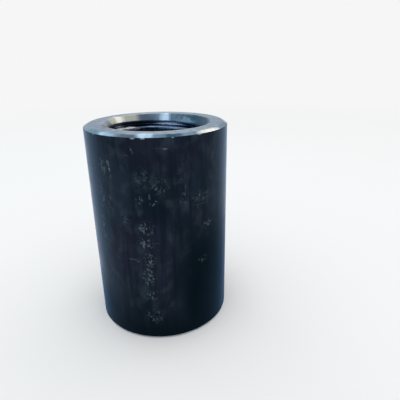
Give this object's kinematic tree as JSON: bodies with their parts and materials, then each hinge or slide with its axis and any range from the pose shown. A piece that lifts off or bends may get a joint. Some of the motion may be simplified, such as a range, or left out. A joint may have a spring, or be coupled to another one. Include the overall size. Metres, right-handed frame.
{
  "type": "rebar coupler",
  "caption": "Round steel sleeve, tapped right through with a coarse parallel thread and countersunk at each mouth, that joins threaded reinforcing bars end to end.",
  "frame": {"origin": "centre of the lower end face, on the sleeve's axis", "axes": "+Z along the axis from the lower end face to the upper one; X and Y are free, as the sleeve is round"},
  "size_m": [0.054, 0.054, 0.08],
  "materials": {
    "sleeve_steel": "satin blue-black mill scale outside, bare turned ends, bevels and countersinks, dark oiled thread"
  },
  "bodies": {
    "root": {"sleeve": "sleeve_steel"}
  },
  "joints": []
}
